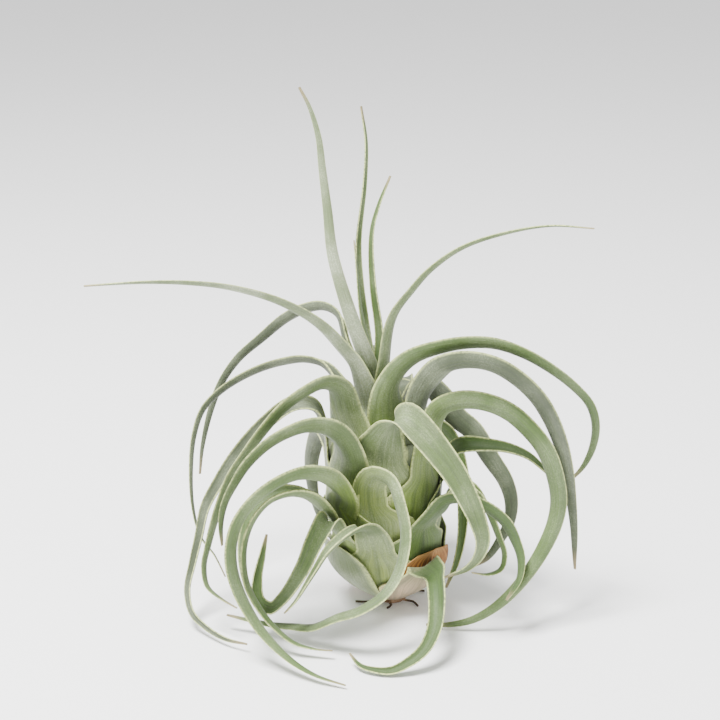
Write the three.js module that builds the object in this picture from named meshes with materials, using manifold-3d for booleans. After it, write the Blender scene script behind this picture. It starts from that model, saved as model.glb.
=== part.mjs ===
// An air plant: a bulb of nested, spoon-like leaf sheaths round a short stem, whose channelled blades
// arch, curl and hang on every side. Millimetres, +Z up. The origin is the middle of the stem's flat
// foot, on the surface that the plant rests on. +X is the viewer's right and -Y faces the viewer.
import * as THREE from 'three';
import { mergeVertices } from 'three/addons/utils/BufferGeometryUtils.js';
import Module from 'manifold-3d';

// The short stem and its wiry roots
const STEM_RADIUS = 9;
const STEM_HEIGHT = 33;
const STEM_SIDES = 24;
const STEM_FOOT_RADIUS = 8;
const STEM_BEVEL = 1;
const ROOT_RADIUS = 0.7;
const ROOT_SIDES = 5;
const ROOT_STEPS = 8;
const ROOT_LENGTHS = [13, 18, 9, 15, 8, 12];
const ROOT_SINK = 4;
const ROOT_REACH_OUT = 2;
const ROOT_HEIGHTS = [1.6, 1.4, 1.2, 1.1];
const ROOT_BEND = 0.125;
const FIRST_ROOT_ANGLE = 0.4;

// The bulb: how the sheaths are stacked along the leaning stem, from the innermost outwards
const LEAN = -0.075;
const FIRST_GAP = 0.9;
const FIRST_INSERTION = 33.75;
const INSERTION_STEP = 0.83;
const LAYER_PITCH = 0.79;
const BOWL_ROUNDNESS = 1.8;
const SWELL_RADIUS = 21;
const SWELL_HEIGHT = 95;
const CLOSING_HEIGHT = 98;
const NECK_HEIGHT = 138;
const NECK_CORE_RADIUS = 3;
const FIRST_SHEATH_TOP = 150;
const SHEATH_TOP_STEP = 3.1;
const SHEATH_HALF_SPAN = Math.PI / 4;
const NECK_HALF_SPAN = 1.15;
const SHEATH_ROW_HEIGHT = 11.25;
const BARE_ROW_HEIGHT = 3.75;
const LEAST_ROW_HEIGHT = 1;
const SHEATH_SHOULDER = 14;
const BARE_POINT = 0.8;
const BARE_ROUNDNESS = 4;

// The blades
const THICKNESS = 0.7;
const BLADE_HALF_WIDTH = 7.5;
const SHOULDER_WIDENING = 1.5;
const TIP_HALF_WIDTH = 0.6;
const TAPER_POWER = 1.8;
const CHANNEL_HALF_ANGLE = 1.15;
const LEAST_CHANNEL_RADIUS = 2.2;
const MIDRIB_DROP = 0.25;
const CHANNEL_BLEND = 34;
const ROLL_BLEND = 64;
const COLUMNS = 4;
const CURVE_SAMPLES = 240;
const ROW_LENGTH = 32;
const ROW_TURN = 0.5;
const WELD_DISTANCE = 1e-3;

// Finishes
const FROSTED = { color: 0xa9b79c, roughness: 0.85 };
const SILVER = { color: 0xa3a68f, roughness: 0.9 };
const GREEN = { color: 0x7f9a66, roughness: 0.8 };
const DARK_GREEN = { color: 0x5f7f35, roughness: 0.75 };
const PALE = { color: 0xc8d1bc, roughness: 0.85 };
const DRY = { color: 0xa8763a, roughness: 0.9 };
const WOODY = { color: 0x6b4a30, roughness: 0.95 };

// Every leaf from the innermost to the outermost. azimuth is where its sheath stands round the stem,
// in degrees from +X. width is half the flattened blade's width. route is the blade's midrib, from above
// the sheath to the tip, and a leaf with no route is a bare sheath. taper says how late the blade narrows.
// roll tips the channel over, in degrees, and twist turns it more and more towards the tip, in radians.
// top is the height of a low sheath's end, and the other sheaths end in even steps. shoulder is half the
// width where the blade leaves the sheath.
const LEAVES = [
  { name: 'leaf_inner_short', azimuth: 0, finish: GREEN, width: 4, taper: 1.2,
    route: [[-14, -1, 164], [-19, -1, 183], [-22, 4, 208], [-24, 7, 229]] },
  { name: 'leaf_tall_thin', azimuth: 140, finish: FROSTED, width: 4.2, taper: 1,
    route: [[-17, 13, 174], [-20, 15, 200], [-21, 18, 225], [-17, 24, 259], [-16, 27, 284], [-19, 28, 305]] },
  { name: 'leaf_tall_left', azimuth: 275, finish: PALE, width: 5.4, taper: 1,
    route: [[-19, -13, 170], [-26, -13, 190], [-36, -6, 224], [-39, 0, 249], [-42, 5, 273],
      [-44, 8, 290], [-49, 10, 307], [-55, 10, 319]] },
  { name: 'leaf_thin_right', azimuth: 44, finish: GREEN, width: 4.2, taper: 1.1,
    route: [[-8, 14, 170], [-12, 22, 198], [-13, 32, 228], [-9, 36, 244], [-2, 40, 261]] },
  { name: 'leaf_back_left_upper', azimuth: 176, finish: SILVER, width: 6.2, taper: 1.2,
    route: [[-28, 12, 165], [-33, 24, 178], [-42, 32, 181], [-53, 38, 178], [-66, 44, 170], [-82, 50, 155],
      [-97, 52, 141], [-108, 52, 125], [-115, 50, 108], [-121, 46, 84], [-123, 44, 66]] },
  { name: 'leaf_right_arch', azimuth: 325, finish: FROSTED, width: 6.8, taper: 1,
    route: [[-4, -12, 172], [0, -15, 190], [10, -20, 206], [21, -24, 220], [39, -28, 234], [64, -30, 243],
      [88, -30, 247], [113, -28, 245]] },
  { name: 'leaf_behind_1', azimuth: 105, finish: SILVER,
    route: [[-12, 22, 150], [-13, 38, 156], [-14, 58, 146], [-15, 78, 122], [-16, 92, 92], [-14, 96, 62],
      [-8, 88, 36]] },
  { name: 'leaf_left_long', azimuth: 240, finish: PALE, width: 7.2, taper: 1,
    route: [[-22, -17, 158], [-31, -22, 172], [-44, -34, 190], [-60, -43, 203], [-75, -49, 211],
      [-96, -55, 218], [-117, -58, 221], [-138, -60, 222], [-159, -60, 221], [-173, -60, 220]] },
  { name: 'leaf_back_right', azimuth: 24, finish: SILVER, width: 9, roll: -50,
    route: [[9, 9, 139], [18, 16, 138], [29, 21, 127], [40, 22, 112], [50, 20, 104], [61, 14, 88],
      [70, 10, 75], [74, 8, 62], [73, 5, 50], [68, 2, 40], [59, -2, 28], [50, -6, 24]] },
  { name: 'leaf_back_left_lower', azimuth: 160, finish: SILVER, width: 8, taper: 1.2,
    route: [[-33, 14, 138], [-42, 24, 146], [-54, 31, 147], [-66, 36, 144], [-81, 38, 139], [-97, 38, 131],
      [-109, 35, 123], [-118, 30, 114], [-123, 24, 100], [-125, 18, 82], [-124, 10, 58], [-119, 2, 41],
      [-110, -6, 32], [-103, -12, 20]] },
  { name: 'leaf_right_upper', azimuth: 296, finish: GREEN, width: 10, taper: 1.1,
    route: [[-4, -18, 142], [1, -20, 155], [11, -24, 166], [27, -30, 174], [43, -34, 178], [58, -36, 178],
      [75, -36, 172], [91, -34, 162], [105, -30, 150], [115, -26, 138], [120, -20, 123], [120, -14, 107],
      [116, -6, 91], [109, 0, 79]] },
  { name: 'leaf_behind_2', azimuth: 75, finish: SILVER,
    route: [[4, 26, 130], [6, 42, 134], [8, 62, 122], [9, 78, 98], [8, 86, 70], [2, 86, 44], [-6, 78, 24]] },
  { name: 'leaf_left_front', azimuth: 226, finish: FROSTED, width: 10.5, roll: 35,
    route: [[-29, -18, 131], [-33, -26, 148], [-42, -35, 154], [-52, -41, 151], [-64, -45, 143],
      [-75, -48, 131], [-85, -48, 117], [-94, -47, 103], [-101, -45, 86], [-106, -44, 71], [-110, -44, 56],
      [-113, -44, 42], [-111, -47, 30], [-103, -53, 25], [-93, -60, 22]] },
  { name: 'leaf_right_middle', azimuth: 333, finish: SILVER, width: 10.5, roll: -60,
    route: [[14, -17, 127], [16, -26, 144], [22, -35, 158], [30, -43, 168], [43, -46, 171], [56, -48, 169],
      [69, -47, 161], [81, -45, 149], [90, -41, 134], [97, -37, 117], [102, -34, 99], [106, -30, 78],
      [109, -28, 56], [111, -26, 32]] },
  { name: 'leaf_behind_3', azimuth: 125, finish: FROSTED,
    route: [[-27, 27, 118], [-30, 38, 126], [-33, 56, 118], [-35, 72, 98], [-34, 82, 72], [-28, 84, 44],
      [-20, 78, 20], [-12, 70, 8]] },
  { name: 'leaf_front_upper', azimuth: 268, finish: FROSTED, width: 11, roll: 110,
    route: [[-7, -36, 121], [-3, -41, 134], [5, -46, 138], [14, -51, 132], [24, -55, 121], [34, -59, 108],
      [42, -63, 94], [48, -64, 80], [51, -64, 68], [49, -62, 57], [42, -57, 46], [30, -50, 37]] },
  { name: 'leaf_right_strand', azimuth: 43, finish: GREEN, width: 5.1,
    route: [[26, 14, 108], [36, 18, 100], [43, 14, 80], [44, 6, 58], [43, 1, 40], [40, -1, 24],
      [34, -3, 8]] },
  { name: 'leaf_left_low', azimuth: 180, finish: SILVER, width: 7.5,
    route: [[-42, -3, 116], [-48, -7, 130], [-60, -11, 132], [-78, -14, 119], [-94, -16, 101],
      [-105, -17, 84], [-113, -19, 69], [-117, -22, 52], [-121, -27, 36], [-124, -34, 22], [-121, -44, 12],
      [-112, -54, 7], [-99, -66, 5], [-86, -74, 6]] },
  { name: 'leaf_right_green', azimuth: 318, finish: GREEN, width: 8.2, roll: -50,
    route: [[20, -25, 111], [23, -29, 127], [28, -35, 139], [40, -38, 144], [54, -40, 143], [67, -40, 137],
      [79, -40, 126], [88, -40, 114], [94, -40, 99], [97, -40, 82], [95, -41, 68], [89, -44, 54],
      [81, -47, 41], [71, -49, 28], [60, -49, 17], [47, -47, 8], [34, -45, 4], [20, -43, 3]] },
  { name: 'leaf_behind_4', azimuth: 90, finish: GREEN,
    route: [[-6, 38, 106], [-6, 50, 110], [-5, 66, 94], [-3, 76, 68], [0, 78, 40], [4, 70, 16], [8, 58, 5]] },
  { name: 'leaf_left_inner', azimuth: 232, finish: FROSTED, width: 10.5, roll: 35,
    route: [[-26, -34, 106], [-30, -42, 121], [-38, -49, 131], [-50, -56, 135], [-62, -62, 133],
      [-73, -65, 127], [-84, -66, 116], [-92, -65, 103], [-98, -63, 90], [-101, -60, 74], [-101, -58, 62]] },
  { name: 'leaf_right_olive', azimuth: 5, finish: DARK_GREEN, width: 8, roll: -30,
    route: [[33, -3, 93], [37, -12, 104], [43, -18, 109], [55, -21, 110], [68, -23, 109], [80, -25, 105],
      [88, -27, 99], [97, -27, 90]] },
  { name: 'leaf_behind_5', azimuth: 145, finish: SILVER,
    route: [[-38, 25, 92], [-44, 36, 97], [-48, 50, 88], [-52, 60, 66], [-50, 64, 40], [-42, 62, 18],
      [-32, 56, 6]] },
  { name: 'leaf_front_pouch', azimuth: 257, finish: FROSTED, width: 7.4, taper: 2,
    route: [[-14, -41, 93], [-10, -46, 101], [-2, -51, 99], [3, -57, 87], [6, -62, 73], [5, -67, 61],
      [1, -72, 49], [-7, -77, 39], [-20, -80, 31], [-33, -77, 25], [-48, -68, 14], [-60, -61, 11],
      [-72, -55, 9], [-86, -50, 9], [-100, -45, 10]] },
  { name: 'leaf_behind_6', azimuth: 63, finish: FROSTED,
    route: [[18, 34, 88], [24, 48, 92], [28, 62, 78], [28, 70, 54], [24, 70, 30], [16, 64, 12], [6, 56, 5]] },
  { name: 'leaf_front_curl', azimuth: 220, finish: GREEN, width: 10.5, taper: 2.4, roll: 60,
    route: [[-31, -39, 86], [-36, -52, 99], [-43, -64, 108], [-55, -73, 112], [-68, -80, 109],
      [-79, -83, 101], [-88, -85, 89], [-92, -86, 75], [-92, -86, 61], [-89, -86, 48], [-84, -87, 36],
      [-77, -90, 25], [-68, -95, 16], [-57, -102, 9], [-44, -110, 5], [-28, -117, 3]] },
  { name: 'leaf_right_inner_curl', azimuth: 335, finish: GREEN, width: 7, roll: -40,
    route: [[35, -24, 84], [44, -28, 88], [52, -30, 82], [58, -32, 70], [63, -32, 57], [67, -33, 45],
      [65, -35, 36], [57, -37, 33], [47, -39, 35]] },
  { name: 'leaf_behind_7', azimuth: 105, finish: FROSTED,
    route: [[-14, 42, 76], [-18, 58, 80], [-20, 70, 62], [-20, 74, 38], [-16, 66, 14], [-12, 56, 5]] },
  { name: 'leaf_front_second_curl', azimuth: 208, finish: GREEN, width: 10.5, shoulder: 12.75, taper: 2,
    roll: 40,
    route: [[-37, -35, 72], [-44, -46, 84], [-52, -56, 94], [-62, -63, 98], [-73, -67, 95], [-82, -70, 85],
      [-87, -71, 71], [-88, -71, 57], [-86, -71, 43], [-80, -72, 30], [-71, -74, 18], [-59, -78, 9],
      [-46, -81, 6], [-36, -83, 6]] },
  { name: 'leaf_right_hanging', azimuth: 307, finish: DARK_GREEN, width: 7.5, roll: -30,
    route: [[24, -39, 74], [31, -43, 84], [41, -46, 86], [54, -47, 81], [65, -47, 72], [71, -46, 61],
      [75, -49, 50], [74, -54, 38], [67, -57, 26]] },
  { name: 'sheath_bare_left', azimuth: 130, finish: PALE },
  { name: 'leaf_twisted', azimuth: 225, finish: GREEN, width: 8.5, shoulder: 9.75, twist: 1.2,
    route: [[-33, -47, 67], [-38, -57, 79], [-42, -62, 74], [-47, -64, 64], [-52, -65, 52], [-58, -65, 41],
      [-65, -63, 30], [-73, -60, 22], [-80, -55, 25], [-81, -50, 36], [-78, -47, 50], [-75, -45, 63]] },
  { name: 'sheath_bare_right', azimuth: 25, finish: PALE },
  { name: 'leaf_front_hanging', azimuth: 259, finish: FROSTED, width: 8,
    route: [[-14, -43, 62], [-17, -53, 71], [-26, -65, 73], [-38, -72, 65], [-45, -73, 54], [-51, -74, 44],
      [-57, -74, 34], [-64, -72, 25]] },
  { name: 'sheath_dry_back', azimuth: 115, finish: DRY },
  { name: 'sheath_dry_front', azimuth: 318, finish: DRY, top: 47 },
  { name: 'sheath_pale', azimuth: 212, finish: PALE, top: 48 },
  { name: 'leaf_front_lowest', azimuth: 303, finish: DARK_GREEN, width: 7, taper: 2.2, top: 36,
    route: [[21, -44, 40], [24, -56, 43], [25, -68, 40], [25, -79, 31], [23, -88, 22], [17, -95, 13],
      [8, -99, 7], [-2, -101, 3], [-12, -100, 3], [-20, -96, 4], [-26, -89, 8]] },
];

/** Eases from 0 at low to 1 at high. */
function ease(value, low, high) {
  const share = THREE.MathUtils.clamp((value - low) / (high - low), 0, 1);
  return share * share * (3 - 2 * share);
}

/** The leaning axis of the bulb at one height. */
function axisPoint(height) {
  return new THREE.Vector3(LEAN * height, 0, height);
}

/** The radius of the innermost layer at one height: it swells above the stem and closes to the neck. */
function coreRadius(height) {
  const swelling = ease(height, FIRST_INSERTION, SWELL_HEIGHT);
  const swollen = THREE.MathUtils.lerp(STEM_RADIUS + FIRST_GAP, SWELL_RADIUS, swelling);
  return THREE.MathUtils.lerp(swollen, NECK_CORE_RADIUS, ease(height, CLOSING_HEIGHT, NECK_HEIGHT));
}

/** The radius of a layer: it turns out and up from the stem, then follows the layers inside it. */
function layerRadius(rank, height) {
  if (height >= FIRST_INSERTION) {
    return coreRadius(height) + LAYER_PITCH * rank;
  }
  const left = (FIRST_INSERTION - height) / (INSERTION_STEP * rank);
  return STEM_RADIUS + FIRST_GAP + LAYER_PITCH * rank * (1 - Math.pow(left, BOWL_ROUNDNESS));
}

/** A sheath's distance from the axis: straight between shared heights, so that no layer cuts another. */
function sheathRadius(rank, height) {
  const row = Math.floor(height / SHEATH_ROW_HEIGHT);
  const below = Math.max(FIRST_INSERTION - INSERTION_STEP * rank, row * SHEATH_ROW_HEIGHT);
  const above = (row + 1) * SHEATH_ROW_HEIGHT;
  const share = (height - below) / (above - below);
  return THREE.MathUtils.lerp(layerRadius(rank, below), layerRadius(rank, above), share);
}

/** One cross-section: its middle, the way its hollow side faces, its side, half width and radius. */
function section(centre, hollow, side, halfWidth, radius) {
  return { centre, hollow, side, halfWidth, radius };
}

/** The sections of the sheath, at heights that all the sheaths share. */
function sheathSections(leaf, rank) {
  const insertion = FIRST_INSERTION - INSERTION_STEP * rank;
  const top = leaf.top ?? FIRST_SHEATH_TOP - SHEATH_TOP_STEP * rank;
  const heights = [insertion];
  const spacing = leaf.route && !leaf.top ? SHEATH_ROW_HEIGHT : BARE_ROW_HEIGHT;
  const firstRow = Math.ceil((insertion + LEAST_ROW_HEIGHT) / spacing) * spacing;
  for (let height = firstRow; height < top - LEAST_ROW_HEIGHT; height += spacing) {
    heights.push(height);
  }
  heights.push(top);
  const bladeHalfWidth = leaf.width ?? BLADE_HALF_WIDTH;
  const angle = THREE.MathUtils.degToRad(leaf.azimuth);
  const outward = new THREE.Vector3(Math.cos(angle), Math.sin(angle), 0);
  const hollow = outward.clone().negate();
  const side = new THREE.Vector3(outward.y, -outward.x, 0);
  return heights.map((height) => {
    const radius = sheathRadius(rank, height);
    const centre = axisPoint(height).addScaledVector(outward, radius);
    const full = radius * SHEATH_HALF_SPAN;
    const shoulder = leaf.route
      ? Math.min(leaf.shoulder ?? SHOULDER_WIDENING * bladeHalfWidth, radius * NECK_HALF_SPAN)
      : BARE_POINT;
    const narrowing = leaf.route
      ? ease(height, top - SHEATH_SHOULDER, top)
      : 1 - Math.sqrt(1 - Math.pow((height - insertion) / (top - insertion), BARE_ROUNDNESS));
    const halfWidth = THREE.MathUtils.lerp(full, shoulder, narrowing);
    return section(centre, hollow, side, halfWidth, radius);
  });
}

/** The sections of the blade, closer together where its midrib turns. */
function bladeSections(leaf, sheath) {
  const last = sheath[sheath.length - 1];
  const lead = sheath.slice(-3).map((row) => row.centre);
  const route = leaf.route.map((point) => new THREE.Vector3(...point));
  const curve = new THREE.CatmullRomCurve3([...lead, ...route], false, 'centripetal');
  const start = (lead.length - 1) / (lead.length + route.length - 1);
  const samples = [];
  let hollow = last.hollow.clone();
  let length = 0;
  let cost = 0;
  let before = null;
  for (let step = 0; step <= CURVE_SAMPLES; step += 1) {
    const share = THREE.MathUtils.lerp(start, 1, step / CURVE_SAMPLES);
    const centre = curve.getPoint(share);
    const tangent = curve.getTangent(share);
    hollow = hollow.clone().addScaledVector(tangent, -hollow.dot(tangent)).normalize();
    if (before) {
      const advance = centre.distanceTo(before.centre);
      length += advance;
      cost += advance / ROW_LENGTH + tangent.angleTo(before.tangent) / ROW_TURN;
    }
    before = { centre, tangent, hollow, length, cost };
    samples.push(before);
  }
  const rowCount = Math.ceil(cost);
  const bladeHalfWidth = leaf.width ?? BLADE_HALF_WIDTH;
  const rows = [];
  for (let row = 1; row <= rowCount; row += 1) {
    const due = (cost * row) / rowCount;
    const sample = samples.find((candidate) => candidate.cost >= due) ?? samples[samples.length - 1];
    const along = sample.length / length;
    const taper = bladeHalfWidth * (1 - Math.pow(along, leaf.taper ?? TAPER_POWER)) + TIP_HALF_WIDTH;
    const settled = ease(sample.length, 0, CHANNEL_BLEND);
    const halfWidth = THREE.MathUtils.lerp(last.halfWidth, taper, settled);
    const channel = Math.max(halfWidth / CHANNEL_HALF_ANGLE, LEAST_CHANNEL_RADIUS);
    const radius = THREE.MathUtils.lerp(last.radius, channel, settled);
    const rolled = (leaf.roll ?? 0) * ease(sample.length, 0, ROLL_BLEND);
    const turn = THREE.MathUtils.degToRad(rolled) + (leaf.twist ?? 0) * along;
    const turned = sample.hollow.clone().applyAxisAngle(sample.tangent, turn);
    const side = new THREE.Vector3().crossVectors(sample.tangent, turned);
    const centre = sample.centre.clone().addScaledVector(turned, -MIDRIB_DROP * halfWidth * settled);
    rows.push(section(centre, turned, side, halfWidth, radius));
  }
  return rows;
}

/** The points of one section: the outer face from margin to margin, then the inner face. */
function sectionPoints(row) {
  const points = [];
  for (const depth of [-THICKNESS / 2, THICKNESS / 2]) {
    for (let column = 0; column <= COLUMNS; column += 1) {
      const angle = ((2 * column) / COLUMNS - 1) * (row.halfWidth / row.radius);
      const reach = row.radius - depth;
      const inward = row.radius - reach * Math.cos(angle);
      const point = row.centre.clone().addScaledVector(row.hollow, inward);
      point.addScaledVector(row.side, reach * Math.sin(angle));
      points.push(point);
    }
  }
  return points;
}

/** Closes the sections into one thin solid, with its two faces split into triangles alike. */
function sheetGeometry(rows) {
  const ring = 2 * (COLUMNS + 1);
  const innerStart = COLUMNS + 1;
  const positions = rows.flatMap((row) => sectionPoints(row).flatMap((point) => point.toArray()));
  const index = [];
  for (let row = 0; row < rows.length - 1; row += 1) {
    const here = row * ring;
    const next = here + ring;
    for (let column = 0; column < COLUMNS; column += 1) {
      const outer = [here + column, next + column, next + column + 1, here + column + 1];
      const inner = outer.map((corner) => corner + innerStart);
      index.push(outer[0], outer[1], outer[2], outer[0], outer[2], outer[3]);
      index.push(inner[0], inner[2], inner[1], inner[0], inner[3], inner[2]);
    }
    const left = [here, here + innerStart, next + innerStart, next];
    const right = [here + COLUMNS, next + COLUMNS, next + COLUMNS + innerStart, here + COLUMNS + innerStart];
    for (const edge of [left, right]) {
      index.push(edge[0], edge[1], edge[2], edge[0], edge[2], edge[3]);
    }
  }
  const tip = (rows.length - 1) * ring;
  for (let column = 0; column < COLUMNS; column += 1) {
    const inner = innerStart + column;
    index.push(column, column + 1, inner + 1, column, inner + 1, inner);
    index.push(tip + column, tip + inner + 1, tip + column + 1, tip + column, tip + inner, tip + inner + 1);
  }
  const geometry = new THREE.BufferGeometry();
  geometry.setAttribute('position', new THREE.Float32BufferAttribute(positions, 3));
  geometry.setIndex(index);
  return geometry;
}

/** One leaf: its sheath and, where it has one, its blade. */
function leafGeometry(leaf, rank) {
  const sheath = sheathSections(leaf, rank);
  const blade = leaf.route ? bladeSections(leaf, sheath) : [];
  return sheetGeometry([...sheath, ...blade]);
}

/** The stem, leaning as the bulb does, on its flat foot. */
function stemGeometry() {
  const profile = [
    new THREE.Vector2(0, 0),
    new THREE.Vector2(STEM_FOOT_RADIUS, 0),
    new THREE.Vector2(STEM_RADIUS, STEM_BEVEL),
    new THREE.Vector2(STEM_RADIUS, STEM_HEIGHT - STEM_BEVEL),
    new THREE.Vector2(STEM_FOOT_RADIUS, STEM_HEIGHT),
    new THREE.Vector2(0, STEM_HEIGHT),
  ];
  const geometry = new THREE.LatheGeometry(profile, STEM_SIDES);
  geometry.rotateX(Math.PI / 2);
  const shear = new THREE.Matrix4().set(1, 0, LEAN, 0, 0, 1, 0, 0, 0, 0, 1, 0, 0, 0, 0, 1);
  return geometry.applyMatrix4(shear);
}

/** One wiry root, sunk well into the stem and bent along the surface. */
function rootGeometry(number, length) {
  const angle = (number / ROOT_LENGTHS.length) * 2 * Math.PI + FIRST_ROOT_ANGLE;
  const points = [
    [STEM_RADIUS - ROOT_SINK, 0, ROOT_HEIGHTS[0]],
    [STEM_RADIUS + ROOT_REACH_OUT, 0, ROOT_HEIGHTS[1]],
    [STEM_RADIUS + length / 2, length * ROOT_BEND, ROOT_HEIGHTS[2]],
    [STEM_RADIUS + length, -length * ROOT_BEND, ROOT_HEIGHTS[3]],
  ];
  const path = new THREE.CatmullRomCurve3(points.map((point) => new THREE.Vector3(...point)));
  const outline = new THREE.Shape();
  outline.absarc(0, 0, ROOT_RADIUS, 0, 2 * Math.PI);
  const settings = { steps: ROOT_STEPS, extrudePath: path, curveSegments: ROOT_SIDES };
  const geometry = new THREE.ExtrudeGeometry(outline, settings);
  return geometry.rotateZ(angle);
}

const wasm = await Module();
wasm.setup();

/** A closed geometry as a solid that can be joined. */
function toSolid(geometry) {
  const bare = geometry.clone();
  bare.deleteAttribute('normal');
  bare.deleteAttribute('uv');
  const merged = mergeVertices(bare, WELD_DISTANCE);
  const vertProperties = Float32Array.from(merged.attributes.position.array);
  const triVerts = Uint32Array.from(merged.index.array);
  return new wasm.Manifold(new wasm.Mesh({ numProp: 3, vertProperties, triVerts }));
}

/** A joined solid as a geometry. */
function toGeometry(solid) {
  const mesh = solid.getMesh();
  const geometry = new THREE.BufferGeometry();
  geometry.setAttribute('position', new THREE.Float32BufferAttribute(mesh.vertProperties, 3));
  geometry.setIndex(Array.from(mesh.triVerts));
  return geometry;
}

/** The stem with its roots in one piece. */
function stemWithRoots() {
  const roots = ROOT_LENGTHS.map((length, number) => toSolid(rootGeometry(number, length)));
  return toGeometry(roots.reduce((joined, root) => joined.add(root), toSolid(stemGeometry())));
}

/** A named mesh in its own material. */
function piece(name, geometry, finish) {
  const material = new THREE.MeshStandardMaterial({ ...finish, metalness: 0, flatShading: true });
  const mesh = new THREE.Mesh(geometry, material);
  mesh.name = name;
  return mesh;
}

const plant = new THREE.Group();
plant.add(piece('stem_and_roots', stemWithRoots(), WOODY));
LEAVES.forEach((leaf, rank) => {
  plant.add(piece(leaf.name, leafGeometry(leaf, rank), leaf.finish));
});

export default plant;
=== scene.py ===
"""An air plant: a bulb of nested leaf sheaths with channelled blades that arch, curl and hang.

Every leaf is one thin sheet, swept along its midrib from the stem to its tip. The sheets stand where
the frame's solids stand, with smooth sections, pale margins, streaks and a frosting of fine scales.
"""
import logging
import math
import random
from dataclasses import dataclass, field
from enum import Enum

import bmesh
import bpy
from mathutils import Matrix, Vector, noise


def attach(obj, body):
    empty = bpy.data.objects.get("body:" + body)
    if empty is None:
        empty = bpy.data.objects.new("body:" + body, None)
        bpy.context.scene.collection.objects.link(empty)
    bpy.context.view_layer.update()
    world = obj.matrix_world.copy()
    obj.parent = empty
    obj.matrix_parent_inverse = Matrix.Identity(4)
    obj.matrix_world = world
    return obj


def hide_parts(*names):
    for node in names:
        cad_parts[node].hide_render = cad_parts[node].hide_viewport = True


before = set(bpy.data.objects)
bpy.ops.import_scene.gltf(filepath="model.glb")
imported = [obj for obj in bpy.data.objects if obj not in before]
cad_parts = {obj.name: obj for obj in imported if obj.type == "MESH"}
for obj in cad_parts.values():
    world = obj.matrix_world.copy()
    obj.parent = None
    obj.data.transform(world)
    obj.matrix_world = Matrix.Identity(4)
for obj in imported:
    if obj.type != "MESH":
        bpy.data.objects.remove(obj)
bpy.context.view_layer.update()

MM = 0.001
LOG = logging.getLogger("air_plant")
PEACH = (0.50, 0.34, 0.22)


class Finish(Enum):
    """The finish of a leaf, by the name of its material slot."""

    FROSTED = "leaf_frosted"
    SILVER = "leaf_silver"
    GREEN = "leaf_green"
    DARK_GREEN = "leaf_dark"
    PALE = "leaf_pale"
    DRY = "sheath_dry"


@dataclass(frozen=True)
class Leaf:
    """One leaf: where its sheath stands and the way its blade goes, in millimetres and degrees.

    The width is half the flattened blade's, taper says how late the blade narrows, roll tips its channel
    over and twist turns it more and more towards the tip, in radians. A leaf with no route is a sheath
    only. Shoulder is half the sheath's width where the blade leaves it, top the sheath's height and base
    the colour near the stem, where they aren't the usual ones, and base_reach is the share of the leaf
    that the base colour reaches.
    """

    name: str
    azimuth: float
    finish: Finish
    width: float = 7.5
    taper: float = 1.8
    roll: float = 0.0
    twist: float = 0.0
    shoulder: float | None = None
    top: float | None = None
    base: tuple[float, float, float] | None = None
    base_reach: float = 0.42
    route: tuple[tuple[float, float, float], ...] = ()


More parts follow.
